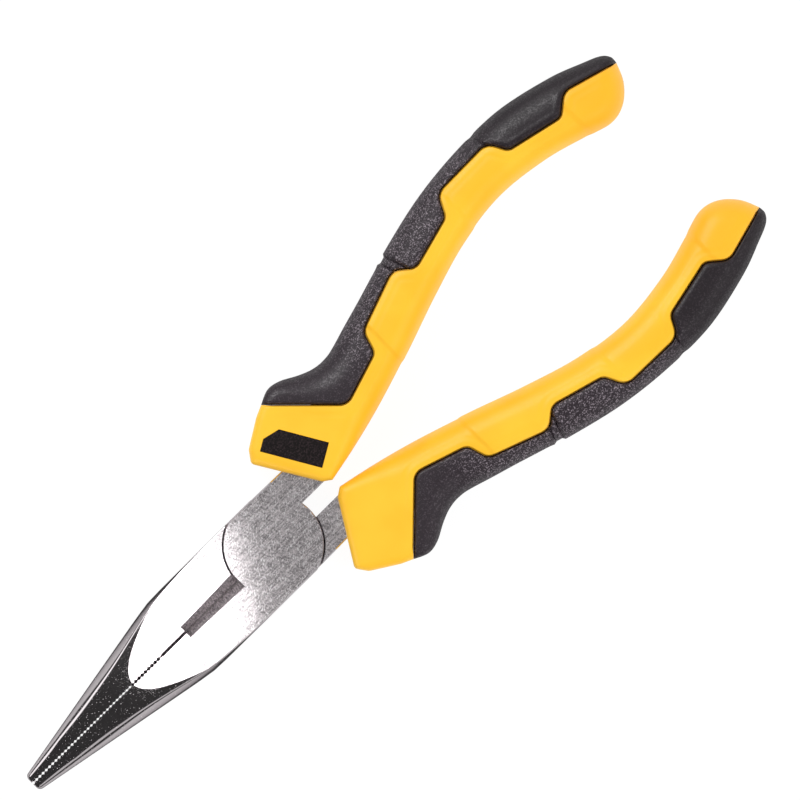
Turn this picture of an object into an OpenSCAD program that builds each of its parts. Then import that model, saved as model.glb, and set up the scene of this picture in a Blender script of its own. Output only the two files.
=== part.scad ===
// Long nose pliers with side cutters, 160 mm size.
// Two identical forged levers cross in a lap joint on a flush rivet.
// Each handle is a rigid shell moulded over the lever's tang, with a soft skin over its outer side.
// +X runs to the nose tip and +Z along the pivot.
// The origin is on the pivot axis, at the head's lower flat.

/* [Head] */
// Distance from the pivot axis to the nose tip
nose_length = 58.5; // [56:0.5:62]
// Thickness of the forged head
head_thickness = 9.5; // [9:0.25:10.5]
// Half width of the head on the side of a lever's own jaw
jaw_side_width = 8.3; // [8.2:0.05:8.5]
// Half width of the head on the side of a lever's own tang
tang_side_width = 8; // [7.8:0.05:8.2]
// Chamfer along the head's long edges
head_chamfer = 0.35; // [0.2:0.05:0.5]

/* [Nose] */
// Half width of the closed nose at its tip
tip_half_width = 1.7; // [1.4:0.1:2]
// Distance from the pivot axis to where the head starts to narrow
taper_start = 22.5; // [19:0.5:23]
// Distance from the pivot axis to where the flat top of the head runs out
flat_end = 34; // [32:0.5:36]
// Slope of the nose's crowned top, in degrees
crown_slope = 8; // [7:0.25:8.5]
// Radius across the nose's crowned top
crown_radius = 16.6; // [15:0.2:20]

/* [Jaws] */
// Distance from the pivot axis to the first gripping tooth
teeth_start = 27.5; // [25:0.5:32]
// Spacing of the gripping teeth
tooth_pitch = 0.78; // [0.7:0.02:1]
// Depth of the gripping teeth
tooth_depth = 0.32; // [0.2:0.02:0.4]
// Distance from the pivot axis to the front of the cutter
cutter_end = 21.3; // [19:0.1:23]
// Half width of the cutter's opening where it starts, at the lap disc
cutter_half_width = 1.6; // [1.3:0.1:1.9]
// Half width of the cutter's opening at its front
cutter_front_half_width = 1.25; // [1:0.05:1.3]

/* [Joint] */
// Radius of each lever's lap disc
disc_radius = 8.7; // [8.6:0.02:8.76]
// Gap between a lap disc and the recess it turns in
disc_gap = 0.15; // [0.1:0.01:0.2]
// Gap between the two lap faces
lap_gap = 0.04; // [0.02:0.01:0.1]
// Radius of the rivet's shank
rivet_radius = 2.6; // [2.2:0.1:3]
// Radial running clearance between the rivet and the lower lever
rivet_clearance = 0.03; // [0.02:0.01:0.08]

/* [Grips] */
// Thickness of the grips
grip_thickness = 13; // [12.5:0.25:14.5]
// Thickness of the soft skin over the rigid shell
skin = 2.2; // [1.8:0.1:2.6]
// Width of the tang inside the grip
tang_width = 6.2; // [5.6:0.1:6.6]
// Thickness of the tang inside the grip
tang_thickness = 6.5; // [5:0.25:7]

/* [Hidden] */
$fn = 96;

steel = [0.66, 0.66, 0.67];
grip_yellow = [1.0, 0.76, 0.16];
grip_charcoal = [0.26, 0.24, 0.25];
badge_black = [0.1, 0.09, 0.09];

half_head = head_thickness / 2;
half_grip = grip_thickness / 2;
recess_radius = disc_radius + disc_gap;
jaw_gap = 0.02;       // each closed jaw stands this far from the mid-line
rivet_flare = 0.8;    // the rivet's ends widen by this much, over the same height
beyond = 1;           // how far a cutting shape runs past the face it cuts

// The slot between the two tangs
slot_half_width = 1.7;
tang_root_end = -15.5;

// The tang's centre line inside the grip, as [x, distance from the mid-line]
tang_line = [
    [-14.5, 4.85], [-20, 7.1], [-30, 10.2], [-40, 13.4], [-50, 16.8],
    [-60, 19.4], [-70, 20.6], [-80, 20.2], [-87, 19]
];

// The collar's front corners, from the mid-line outwards
collar_corners = [[-13.6, 1.9], [-7.2, 12.2], [-7.2, 13.1], [-8.5, 14.7], [-13.3, 17.7]];

// The grip's outer edge, from the collar over the thumb stop and the palm swell to the end
outer_knots = [
    [-15.4, 18.65], [-18, 19.75], [-20.5, 19.35], [-23.5, 17.8], [-26, 16.85], [-28.5, 16.6],
    [-31.5, 17.15], [-40, 19.85], [-50, 22.8], [-60, 25.1], [-70, 26.15], [-80, 26.05],
    [-90, 23.9], [-96, 21.7], [-99.2, 20.3], [-100.4, 18.9], [-100.4, 17.5]
];

// The grip's inner edge, from the end over the end bulb to the collar
inner_knots = [
    [-100.4, 17.5], [-98.9, 14.3], [-96, 11.7], [-92.6, 10.9], [-88, 12.1], [-80, 14.25],
    [-70, 15.35], [-60, 14.05], [-50, 11.1], [-40, 7.6], [-30, 4.4], [-22, 2.3], [-15.1, 0.85]
];

// The stepped edge of the soft skin, as corners [x, distance from the mid-line, corner radius]
skin_corners = [
    [-15.4, 18.65, 0], [-26, 8.2, 2.4], [-35.6, 11.3, 1.7], [-36.8, 15.3, 2.2], [-47.7, 19.2, 2.6],
    [-50.9, 16.6, 2.2], [-60.6, 19.25, 1.7], [-62.6, 23.2, 2.6], [-74.5, 23.4, 2.6],
    [-76.4, 19.8, 1.8], [-86.8, 17.5, 1.7], [-90.3, 20.3, 2.6], [-100.4, 17.5, 0]
];

// The badge: a plate with one corner cut, set parallel to the collar's front edge
badge_corner = [-15.3, 3.6];
badge_size = [11, 4.45];
badge_cut = 2.2;
badge_depth = 0.6;
badge_sink = 0.1;
badge_turn = 59.5;

// ---- Curves ----

function turned_about(centre, radius, angle) = centre + radius * [cos(angle), sin(angle)];
function unit(v) = v / norm(v);
function flat_point(p) = [p[0], p[1]];

// An angle brought between -180 and 180
function short_turn(angle) = angle - 360 * round(angle / 360);

function between(a, b, c, d, t) =
    (2 * b + (c - a) * t + (2 * a - 5 * b + 4 * c - d) * t * t + (3 * b - a - 3 * c + d) * t * t * t) / 2;

// A smooth curve through the knots, with some short lines to each stretch
function smooth_path(knots, steps = 5) = concat(
    [
        for (i = [0:len(knots) - 2], s = [0:steps - 1])
            between(knots[max(i - 1, 0)], knots[i], knots[i + 1], knots[min(i + 2, len(knots) - 1)], s / steps)
    ],
    [knots[len(knots) - 1]]
);

// The arc of a radius that rounds the corner at b between a and c
function corner_arc(a, b, c, radius, steps) =
    let(
        to_a = unit(a - b),
        to_c = unit(c - b),
        half = acos(to_a * to_c) / 2,
        centre = b + unit(to_a + to_c) * radius / sin(half),
        start = b + to_a * radius / tan(half) - centre,
        stop = b + to_c * radius / tan(half) - centre,
        first = atan2(start[1], start[0]),
        turn = short_turn(atan2(stop[1], stop[0]) - first)
    )
    [for (s = [0:steps]) turned_about(centre, radius, first + turn * s / steps)];

// Straight lines between corners [x, y, radius], with each inner corner rounded
function rounded_path(corners, steps = 5) = concat(
    [flat_point(corners[0])],
    [
        for (i = [1:len(corners) - 2])
            each corner_arc(
                flat_point(corners[i - 1]), flat_point(corners[i]), flat_point(corners[i + 1]),
                corners[i][2], steps
            )
    ],
    [flat_point(corners[len(corners) - 1])]
);

function reversed(path) = [for (i = [len(path) - 1:-1:0]) path[i]];

// A lever's handle lies on its -Y side
function handle_side(path) = [for (p = path) [p[0], -p[1]]];

outer_edge = smooth_path(outer_knots);
inner_edge = smooth_path(inner_knots);
skin_edge = rounded_path(skin_corners);

// ---- One lever, with its mid-plane at z = 0, its jaw on the +Y side and its tang on the -Y side ----

// The jaw's seam with its gripping teeth, from the joint to the tip
function tooth_row() =
    let(count = floor((nose_length - teeth_start) / tooth_pitch))
    [
        for (i = [0:count - 1])
            each [
                [teeth_start + i * tooth_pitch, jaw_gap],
                [teeth_start + (i + 0.5) * tooth_pitch, jaw_gap + tooth_depth]
            ]
    ];

// The jaw from above. Its outer side stands clear of the round flank, which shapes it.
module jaw_outline() {
    tip_corner = 0.7;
    margin = 0.1;
    tip_side = rounded_path([
        [nose_length, jaw_gap, 0],
        [nose_length, tip_half_width + margin, tip_corner],
        [taper_start, jaw_side_width + beyond, 0]
    ]);
    polygon(concat([[0, jaw_gap]], tooth_row(), tip_side, [[0, jaw_side_width + beyond]]));
}

// The head's cross-section, chamfered along its long edges, as a bar along X
module head_bar() {
    low = half_head - head_chamfer;
    tang_top = head_chamfer - tang_side_width;
    jaw_top = jaw_side_width - head_chamfer;
    translate([tang_root_end - beyond, 0, 0])
        rotate([90, 0, 90])
            linear_extrude(2 * nose_length)
                polygon([
                    [tang_top, -half_head], [jaw_top, -half_head], [jaw_side_width, -low],
                    [jaw_side_width, low], [jaw_top, half_head], [tang_top, half_head],
                    [-tang_side_width, low], [-tang_side_width, -low]
                ]);
}

// A crowned surface that slopes down to the tip and leaves the head's flat in a parabola
module crown() {
    length = 4 * nose_length;
    translate([flat_end, 0, half_head])
        rotate([0, crown_slope, 0])
            translate([0, 0, -crown_radius])
                rotate([0, 90, 0])
                    cylinder(r = crown_radius, h = length, center = true);
}

// The nose's round flank: a slim cone whose side is the nose's tapered outline at the mid-plane
module flank() {
    cone_root = -12;
    cone_taper = 0.195;
    outline_taper = (jaw_side_width - tip_half_width) / (nose_length - taper_start);
    lean = cone_taper - outline_taper;
    reach = nose_length - cone_root;
    translate([cone_root, -lean * reach, 0])
        rotate([0, 0, atan(lean)])
            rotate([0, 90, 0])
                cylinder(
                    r1 = tip_half_width + cone_taper * reach,
                    r2 = tip_half_width - cone_taper * beyond,
                    h = reach + beyond
                );
}

// The cutter's opening on the upper side: an upright wall, then the bevel down to the edge at the mid-plane
module cutter_opening() {
    bevel_angle = 44;
    start = disc_radius - disc_gap;
    width = cutter_half_width + beyond;
    height = half_head + beyond;
    intersection() {
        linear_extrude(height)
            polygon([
                [start, -beyond], [start, cutter_half_width],
                [cutter_end, cutter_front_half_width], [cutter_end, -beyond]
            ]);
        translate([start - beyond, 0, 0])
            rotate([90, 0, 90])
                linear_extrude(cutter_end - start + 2 * beyond)
                    polygon([
                        [-2 * beyond, 0], [jaw_gap, 0], [width, width * tan(bevel_angle)],
                        [width, 2 * height], [-2 * beyond, 2 * height]
                    ]);
    }
}

module jaw() {
    difference() {
        intersection() {
            translate([0, 0, -half_head]) linear_extrude(head_thickness) jaw_outline();
            flank();
            crown();
            mirror([0, 0, 1]) crown();
        }
        cutter_opening();
        mirror([0, 0, 1]) cutter_opening();
    }
}

// The full-thickness root of the tang, from the disc into the collar
module tang_root() {
    width = tang_side_width + beyond - slot_half_width;
    translate([tang_root_end, -tang_side_width - beyond, -half_head])
        cube([-tang_root_end, width, head_thickness]);
}

// The tang inside the grip
module tang_tail() {
    half_width = tang_width / 2;
    near_edge = [for (p = tang_line) [p[0], p[1] - half_width]];
    far_edge = [for (p = tang_line) [p[0], p[1] + half_width]];
    translate([0, 0, -tang_thickness / 2])
        linear_extrude(tang_thickness)
            polygon(handle_side(concat(near_edge, reversed(far_edge))));
}

// The rivet with its flared ends. A bore for it is grown by a clearance and runs past the faces.
module rivet_shape(clearance = 0, past = 0) {
    radius = rivet_radius + clearance;
    flare_foot = half_head - rivet_flare;
    end = half_head + past;
    end_radius = radius + rivet_flare + past;
    rotate_extrude()
        polygon([
            [0, -end], [end_radius, -end], [radius, -flare_foot],
            [radius, flare_foot], [end_radius, end], [0, end]
        ]);
}

module lever(clearance) {
    color(steel) {
        difference() {
            union() {
                intersection() {
                    union() {
                        jaw();
                        tang_root();
                    }
                    head_bar();
                }
                tang_tail();
            }
            translate([0, 0, lap_gap / 2 - head_thickness]) cylinder(r = recess_radius, h = head_thickness);
            rivet_shape(clearance, beyond);
        }
        difference() {
            intersection() {
                translate([0, 0, lap_gap / 2]) cylinder(r = disc_radius, h = half_head - lap_gap / 2);
                head_bar();
            }
            cutter_opening();
            rivet_shape(clearance, beyond);
        }
    }
}

// ---- One grip, on the -Y side of its lever ----

// The grip's long profile: flat faces that thin towards both ends
module grip_profile() {
    front_thickness = grip_thickness - 1;
    end_thickness = grip_thickness - 4;
    width = 40;
    rotate([90, 0, 0])
        linear_extrude(width)
            polygon([
                [-4, -front_thickness / 2], [-12, -half_grip], [-88, -half_grip], [-102, -end_thickness / 2],
                [-102, end_thickness / 2], [-88, half_grip], [-12, half_grip], [-4, front_thickness / 2]
            ]);
}

// The part of the rigid shell that the soft skin covers
module covered_shell() {
    first = -21;
    last = -96;
    height = grip_thickness - 2 * skin;
    covered = [for (p = outer_edge) if (p[0] < first && p[0] > last) [p[0], p[1] - skin]];
    margin = 1.2;
    under = [for (p = inner_edge) if (p[0] < first && p[0] > last) [p[0], p[1] + margin]];
    translate([0, 0, -height / 2])
        linear_extrude(height)
            polygon(handle_side(concat(covered, under)));
}

// The badge plate, or the pocket for it when it runs past the grip's face
module badge_plate(past = 0) {
    along = [cos(badge_turn), sin(badge_turn)];
    across = [-sin(badge_turn), cos(badge_turn)];
    corners = [
        [0, 0], [badge_size[0], 0], [badge_size[0], badge_cut],
        [badge_size[0] - badge_cut, badge_size[1]], [0, badge_size[1]]
    ];
    outline = [for (c = corners) badge_corner + c[0] * along + c[1] * across];
    top = half_grip - badge_sink;
    translate([0, 0, top - badge_depth])
        linear_extrude(badge_depth + past)
            polygon(handle_side(outline));
}

module shell() {
    visible = concat(collar_corners, skin_edge, inner_edge);
    color(grip_yellow)
        difference() {
            intersection() {
                union() {
                    translate([0, 0, -half_grip]) linear_extrude(grip_thickness) polygon(handle_side(visible));
                    covered_shell();
                }
                grip_profile();
            }
            intersection() {
                tang_root();
                head_bar();
            }
            tang_tail();
            badge_plate(badge_sink + beyond);
        }
}

module soft_skin() {
    color(grip_charcoal)
        difference() {
            intersection() {
                translate([0, 0, -half_grip])
                    linear_extrude(grip_thickness)
                        polygon(handle_side(concat(skin_edge, reversed(outer_edge))));
                grip_profile();
            }
            covered_shell();
        }
}

module badge() {
    color(badge_black) badge_plate();
}

// ---- Placing ----

// Lever A and its grip lie as drawn
module side_a() {
    translate([0, 0, half_head]) children();
}

// Lever B and its grip are the same pieces, turned over about the tool's long axis
module side_b() {
    translate([0, 0, half_head]) rotate([180, 0, 0]) children();
}

module jaw_lever_a() { side_a() lever(0); }
module jaw_lever_b() { side_b() lever(rivet_clearance); }
module pivot_rivet() { color(steel) translate([0, 0, half_head]) rivet_shape(); }
module grip_core_a() { side_a() shell(); }
module grip_core_b() { side_b() shell(); }
module grip_overmould_a() { side_a() soft_skin(); }
module grip_overmould_b() { side_b() soft_skin(); }
module badge_inlay_a() { side_a() badge(); }
module badge_inlay_b() { side_b() badge(); }

jaw_lever_a();
jaw_lever_b();
pivot_rivet();
grip_core_a();
grip_core_b();
grip_overmould_a();
grip_overmould_b();
badge_inlay_a();
badge_inlay_b();
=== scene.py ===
"""Looks of the long nose pliers: two forged levers, a flush rivet and two-colour moulded grips.

Lengths are in millimetres until a piece is placed, and the stage is in metres. Each lever and each grip
piece is built once, as it lies on side A with its mid-plane at z = 0. Side B is the same piece turned over
about the tool's long axis. A handle lies on its lever's -Y side, where "v" is the distance from the mid-line.
"""

import math

import bmesh
import bpy
import numpy as np
from mathutils import Matrix, Vector


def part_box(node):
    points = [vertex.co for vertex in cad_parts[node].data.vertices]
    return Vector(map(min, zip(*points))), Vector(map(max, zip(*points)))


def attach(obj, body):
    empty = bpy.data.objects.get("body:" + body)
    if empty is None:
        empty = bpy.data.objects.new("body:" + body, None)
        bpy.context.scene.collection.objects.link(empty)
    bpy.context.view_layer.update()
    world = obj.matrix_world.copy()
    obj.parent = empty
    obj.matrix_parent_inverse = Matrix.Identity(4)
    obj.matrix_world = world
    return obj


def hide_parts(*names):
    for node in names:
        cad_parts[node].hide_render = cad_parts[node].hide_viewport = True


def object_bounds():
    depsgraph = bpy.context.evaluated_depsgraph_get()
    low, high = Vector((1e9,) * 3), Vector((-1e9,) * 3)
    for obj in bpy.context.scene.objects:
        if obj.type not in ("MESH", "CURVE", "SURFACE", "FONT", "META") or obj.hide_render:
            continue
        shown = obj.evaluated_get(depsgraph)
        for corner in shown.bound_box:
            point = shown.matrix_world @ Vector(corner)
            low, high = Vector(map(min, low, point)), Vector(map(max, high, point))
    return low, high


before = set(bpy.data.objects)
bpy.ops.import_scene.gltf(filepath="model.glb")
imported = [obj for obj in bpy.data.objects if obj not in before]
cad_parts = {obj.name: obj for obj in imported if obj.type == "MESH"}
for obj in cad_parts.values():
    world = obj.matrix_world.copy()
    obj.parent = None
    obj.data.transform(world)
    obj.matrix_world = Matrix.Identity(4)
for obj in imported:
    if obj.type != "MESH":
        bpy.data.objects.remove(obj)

cad_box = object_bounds()
MM = 0.001

# ---- Sizes taken from the frame ----

rivet_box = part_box("pivot_rivet")
lever_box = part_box("jaw_lever_a")
grip_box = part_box("grip_core_a")
THICKNESS = (rivet_box[1].z - rivet_box[0].z) / MM
HALF = THICKNESS / 2
MID_Z = (rivet_box[0].z + rivet_box[1].z) / 2 / MM
NOSE = lever_box[1].x / MM
HALF_GRIP = (grip_box[1].z - grip_box[0].z) / 2 / MM
FLOOR_Z = cad_box[0].z

# ---- Head ----

# The closed jaws: their sides, their taper to the nose and the crown behind the tip
JAW_SIDE = 8.3
HEAD_EDGE = 0.22
TAPER_START = 22.5
TAPER_SOFTENING = 0.48
TAPER_SOFT_REACH = 2.2
TIP_HALF = 1.7
TIP_ROUND = 0.7
TIP_DROP = 0.6
FLAT_END = 34.0
CROWN_SLOPE = math.tan(math.radians(8))
CROWN_RADIUS = 16.6

# The teeth, and the seam between the jaws
TEETH_START = 27.5
TEETH_RISE = 0.12
TOOTH_PITCH = 0.78
TOOTH_DEPTH = 0.3
CREST_GAP = 0.06
TIP_GAP = 0.02
CONTACT = 0.004
SEAM_HALF = 0.27
SEAM_NARROWS = 0.6
SEAM_RISE = 0.9
SEAM_FOOT = 0.02
SEAM_EDGE = 0.06

# The cutter's opening
CUTTER_START = 8.5
CUTTER_END = 21.3
CUTTER_HALF = 1.6
CUTTER_HALF_FRONT = 1.25
CUTTER_FLOOR = 0.1
CUTTER_LIP = (0.17, 0.6)
CUTTER_WALL_FOOT = 1.5
CUTTER_WALL_SLANT = 0.3

# The lap discs and their recesses, and the thick part of each tang with the slot between the two
DISC_RADIUS = 8.63
DISC_EDGE = 0.06
PAST_DISC = 20
RECESS_RADIUS = 8.95
LAP_GAP = 0.04
TANG_SIDE = 8.25
TANG_SIDE_REAR = 8.0
SLOT_HALF = 1.7
ROOT_END = -15.5

# The rivet, which is fixed in lever A and turns in lever B
RIVET_RADIUS = 2.6
RIVET_FLARE = 0.8
RIVET_CLEARANCE = 0.03

# The tang inside the grip, with its middle line as [x, v]
TANG_THICKNESS = 6.5
TANG_WIDTH = 6.2
TANG_LINE = [
    (-14.5, 4.85), (-20, 7.1), (-30, 10.2), (-40, 13.4), (-50, 16.8),
    (-60, 19.4), (-70, 20.6), (-80, 20.2), (-87, 19),
]

# How far a shape that cuts runs past what it cuts
BEYOND = 1

# Angles over which an edge looks sharp, in degrees
STEEL_CREASE = 24
GRIP_CREASE = 38

# How round the jaw's side is: [x, radius of the side's arc]
SIDE_ROUNDNESS = [(8, 200), (14, 60), (20, 20.8), (25, 12.3), (30, 8.3), (40, 4.9), (50, 3.1), (58.5, 1.7)]

# How round the edge between the jaw's top and side is: [x, size of the rounding]
EDGE_ROUNDING = [(0, HEAD_EDGE), (26, HEAD_EDGE), (40, 0.42), (NOSE, 0.24)]

# Where the jaws start to stand apart: [x, height over the mid-plane]. Below 0 the seam is open right through.
SEAM_FLOOR = [(0, HALF - 2.5), (FLAT_END - 1, HALF - 2.5), (FLAT_END, 1.2), (FLAT_END + 1, -0.5)]

# ---- Grip outlines, as [x, v] or [x, v, corner radius] ----

GRIP_END = -100.4
COLLAR = [(-13.6, 1.9, 0.9), (-7.05, 12.65, 0.8), (-8.5, 14.7, 1.4), (-13.3, 17.7, 2.0)]
OUTER_EDGE = [
    (-15.4, 18.65), (-18, 19.75), (-20.5, 19.35), (-23.5, 17.8), (-26, 16.85), (-28.5, 16.6),
    (-31.5, 17.15), (-40, 19.85), (-50, 22.8), (-60, 25.1), (-70, 26.15), (-80, 26.05),
    (-90, 23.9), (-96, 21.7), (-99.2, 20.3), (GRIP_END, 18.9), (GRIP_END, 17.5),
]
INNER_EDGE = [
    (GRIP_END, 17.5), (-98.9, 14.3), (-96, 11.7), (-92.6, 10.9), (-88, 12.1), (-80, 14.25),
    (-70, 15.35), (-60, 14.05), (-50, 11.1), (-40, 7.6), (-30, 4.4), (-22, 2.3), (-15.1, 0.85),
]
SKIN_EDGE = [
    (-15.4, 18.65, 0), (-26, 8.2, 2.4), (-35.6, 11.3, 1.7), (-36.8, 15.3, 2.2), (-47.7, 19.2, 2.6),
    (-50.9, 16.6, 2.2), (-60.6, 19.25, 1.7), (-62.6, 23.2, 2.6), (-74.5, 23.4, 2.6),
    (-76.4, 19.8, 1.8), (-86.8, 17.5, 1.7), (-90.3, 20.3, 2.6), (GRIP_END, 17.5, 0),
]
BADGE_CORNER = (-15.3, 3.6)
BADGE_SIZE = (11, 4.45)
BADGE_CUT = 2.2
BADGE_DEPTH = 0.6
BADGE_SINK = 0.1
BADGE_GAP = 0.05
BADGE_BEVEL = 0.12
BADGE_TURN = math.radians(59.5)


# ---- Curves ----

def smooth_path(knots, steps=12):
    """A smooth curve through the knots."""
    knots = np.asarray(knots, float)
    padded = np.vstack([knots[0], knots, knots[-1]])
    points = []
    for i in range(len(knots) - 1):
        a, b, c, d = padded[i:i + 4]
        for t in np.arange(steps) / steps:
            points.append((2 * b + (c - a) * t + (2 * a - 5 * b + 4 * c - d) * t ** 2
                           + (3 * b - a - 3 * c + d) * t ** 3) / 2)
    return np.array(points + [knots[-1]])


def corner_arc(a, b, c, radius, steps):
    """The arc that rounds the corner at b between a and c."""
    to_a = (a - b) / np.linalg.norm(a - b)
    to_c = (c - b) / np.linalg.norm(c - b)
    half = math.acos(np.clip(to_a @ to_c, -1, 1)) / 2
    centre = b + (to_a + to_c) / np.linalg.norm(to_a + to_c) * radius / math.sin(half)
    start = b + to_a * radius / math.tan(half) - centre
    stop = b + to_c * radius / math.tan(half) - centre
    first = math.atan2(start[1], start[0])
    turn = math.remainder(math.atan2(stop[1], stop[0]) - first, math.tau)
    angles = first + turn * np.arange(steps + 1) / steps
    return centre + radius * np.column_stack([np.cos(angles), np.sin(angles)])


def rounded_path(corners, steps=10):
    """Straight lines between corners [x, v, radius], with the inner corners rounded."""
    points = np.array([c[:2] for c in corners], float)
    path = [points[:1]]
    for i in range(1, len(corners) - 1):
        path.append(corner_arc(points[i - 1], points[i], points[i + 1], corners[i][2], steps))
    return np.vstack(path + [points[-1:]])


def evenly(path, spacing):
    """The same path with points at an even spacing."""
    steps = np.linalg.norm(np.diff(path, axis=0), axis=1)
    along = np.concatenate([[0], np.cumsum(steps)])
    count = max(2, int(round(along[-1] / spacing)) + 1)
    at = np.linspace(0, along[-1], count)
    return np.column_stack([np.interp(at, along, path[:, 0]), np.interp(at, along, path[:, 1])])


def distance_to(path, points):
    """Each point's distance to the path."""
    best = np.full(len(points), np.inf)
    for start, stop in zip(path[:-1], path[1:]):
        step = stop - start
        length = step @ step
        if length < 1e-12:
            continue
        t = np.clip((points - start) @ step / length, 0, 1)
        off = points - start - t[:, None] * step
        best = np.minimum(best, (off ** 2).sum(1))
    return np.sqrt(best)


def smoothstep(low, high, value):
    """0 up to low, 1 from high on, and a smooth rise between them."""
    t = np.clip((value - low) / (high - low), 0, 1)
    return t * t * (3 - 2 * t)


def shifted(path, distance):
    """The path moved sideways by each point's distance, to the right of its run when that is positive."""
    run = np.gradient(path, axis=0)
    run /= np.linalg.norm(run, axis=1)[:, None]
    return path + distance[:, None] * np.column_stack([run[:, 1], -run[:, 0]])


def step_at(place, half, value):
    """0 before a place and 1 after it, with half of the rise on each side. A half below 0 turns it round."""
    return smoothstep(place - half, place + half, value)


def bump(value, centre, width):
    """1 at the centre, falling off smoothly on both sides."""
    return np.exp(-((value - centre) / width) ** 2)


def between(share, first, second):
    """The value that lies a share of the way from the first to the second."""
    return first + (second - first) * share


# ---- Mesh helpers ----

def mesh_object(name, vertices, faces, weld=0.002):
    """A closed mesh from points in millimetres, with coinciding points joined and faces turned outwards."""
    mesh = bpy.data.meshes.new(name)
    mesh.from_pydata([tuple(float(c) for c in v) for v in vertices], [], faces)
    work = bmesh.new()
    work.from_mesh(mesh)
    bmesh.ops.remove_doubles(work, verts=work.verts, dist=weld)
    bmesh.ops.dissolve_degenerate(work, edges=work.edges, dist=weld / 4)
    bmesh.ops.recalc_face_normals(work, faces=work.faces)
    if work.calc_volume(signed=True) < 0:
        bmesh.ops.reverse_faces(work, faces=work.faces)
    work.to_mesh(mesh)
    work.free()
    piece = bpy.data.objects.new(name, mesh)
    bpy.context.scene.collection.objects.link(piece)
    return piece


def ring_faces(count, first, second):
    """Faces between two rings of count vertices, given the number of each ring's first vertex."""
    return [(first + i, first + (i + 1) % count, second + (i + 1) % count, second + i) for i in range(count)]


def lofted(name, rings, weld=0.002):
    """A closed solid through rings of [x, y, z] that all have the same number of points."""
    count = len(rings[0])
    vertices = [point for ring in rings for point in ring]
    last = (len(rings) - 1) * count
    faces = []
    for start in range(0, last, count):
        faces += ring_faces(count, start, start + count)
    faces.append(tuple(range(count))[::-1])
    faces.append(tuple(range(last, last + count)))
    return mesh_object(name, vertices, faces, weld)


def prism(name, outline, low, high):
    """An outline [x, y] carried from one height to another."""
    return lofted(name, [[(x, y, z) for x, y in outline] for z in (low, high)])


def bar(name, section, start, end, end_section=None):
    """A section [y, z] carried along X, and changed evenly to the end section if there is one."""
    first = [(start, y, z) for y, z in section]
    return lofted(name, [first, [(end, y, z) for y, z in end_section or section]])


def turned(name, profile, segments=128):
    """A profile [radius, z] turned about the pivot axis. Its ends lie on the axis."""
    vertices = []
    for k in range(segments):
        angle = math.tau * k / segments
        vertices += [(r * math.cos(angle), r * math.sin(angle), z) for r, z in profile]
    count = len(profile)
    faces = []
    for k in range(segments):
        here, there = k * count, (k + 1) % segments * count
        faces += [(here + i, there + i, there + i + 1, here + i + 1) for i in range(count - 1)]
    return mesh_object(name, vertices, faces)


def combine(target, tool, operation):
    """Joins, cuts or intersects the target with the tool, which is used up."""
    modifier = target.modifiers.new("combine", "BOOLEAN")
    modifier.operation = operation
    modifier.object = tool
    modifier.solver = "MANIFOLD"
    scene_view = bpy.context.evaluated_depsgraph_get()
    result = bpy.data.meshes.new_from_object(target.evaluated_get(scene_view))
    target.modifiers.remove(modifier)
    old = target.data
    target.data = result
    bpy.data.meshes.remove(old)
    bpy.data.objects.remove(tool)
    return target


def copy_of(piece, name):
    """A copy with its own mesh and no materials."""
    twin = bpy.data.objects.new(name, piece.data.copy())
    twin.data.materials.clear()
    bpy.context.scene.collection.objects.link(twin)
    return twin


def place(piece, side):
    """Brings a piece from its own millimetres to its place on side A or B."""
    turn = Matrix.Identity(4) if side == "a" else Matrix.Rotation(math.pi, 4, "X")
    piece.data.transform(Matrix.Scale(MM, 4) @ Matrix.Translation((0, 0, MID_Z)) @ turn)
    piece.data.update()


def shade(piece, crease, is_flat=None):
    """Smooth shading that breaks at creases, and all round the flat faces that is_flat picks."""
    work = bmesh.new()
    work.from_mesh(piece.data)
    limit = math.radians(crease)
    for face in work.faces:
        face.smooth = True
    for edge in work.edges:
        if len(edge.link_faces) != 2:
            continue
        first, second = edge.link_faces
        sharp = edge.calc_face_angle(0) > limit
        if is_flat and is_flat(first) != is_flat(second):
            sharp = True
        edge.smooth = not sharp
    work.to_mesh(piece.data)
    work.free()
    weighted = piece.modifiers.new("even_normals", "WEIGHTED_NORMAL")
    weighted.keep_sharp = True
    weighted.weight = 60


# ---- Lever ----

def tooth_wave(x):
    """How far the seam lies from the mid-line at x, with a tooth's crest at every pitch."""
    into = (np.asarray(x, float) - TEETH_START) / TOOTH_PITCH
    wave = 1 - np.abs(2 * (into - np.floor(into)) - 1)
    marks = [TEETH_START - SEAM_NARROWS, TEETH_START, FLAT_END, FLAT_END + 6]
    seam = np.interp(x, marks, [SEAM_HALF, CREST_GAP, CREST_GAP, TIP_GAP])
    return np.maximum(seam, np.where(into >= 0, TOOTH_DEPTH * wave, 0))


def seam_wall(x, top):
    """The jaw's inner wall from the mid-plane up, as [y, z].

    Where the seam has a floor the jaws touch below it, and part in a V above it.
    """
    open_from = np.interp(x, *zip(*SEAM_FLOOR))
    has_floor = open_from > 0
    bottom = max(open_from, SEAM_FOOT)
    above = float(tooth_wave(x))
    below = CONTACT if has_floor else above
    parted = bottom + (SEAM_RISE if has_floor else TEETH_RISE)
    heights = [0, bottom, parted, (parted + top) / 2, top]
    return list(zip([below, below, above, above, above], heights))


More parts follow.
